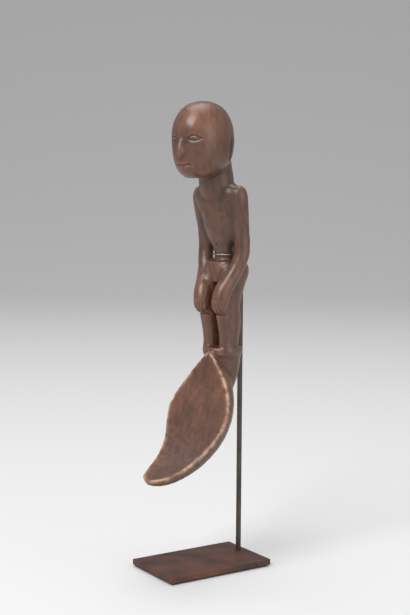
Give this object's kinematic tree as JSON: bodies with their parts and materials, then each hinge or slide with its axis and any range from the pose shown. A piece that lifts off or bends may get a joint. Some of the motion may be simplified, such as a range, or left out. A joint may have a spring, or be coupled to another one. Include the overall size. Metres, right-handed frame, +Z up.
{
  "type": "spoon",
  "caption": "Carved wooden spoon with a standing figure as its handle, wired to a square rod on a small steel plate.",
  "frame": {"origin": "centre of the pad's underside, on the surface that the stand rests on", "axes": "+Z up, plate's long side along Y, the figure faces -Y and a little to +X"},
  "size_m": [0.0444, 0.0743, 0.2362],
  "materials": {
    "carved_wood": "dark red-brown hardwood, hand polished by long use, worn lighter on the rim",
    "wire": "annealed steel wire, slightly dulled",
    "dark_steel": "patinated steel bar",
    "plate_steel": "rust-brown patinated steel, bright along the edge",
    "felt": "thin dark felt"
  },
  "bodies": {
    "root": {"carved_spoon": "carved_wood", "tie_wire": "wire", "stand_rod": "dark_steel", "stand_plate": "plate_steel", "plate_pad": "felt"}
  },
  "joints": []
}
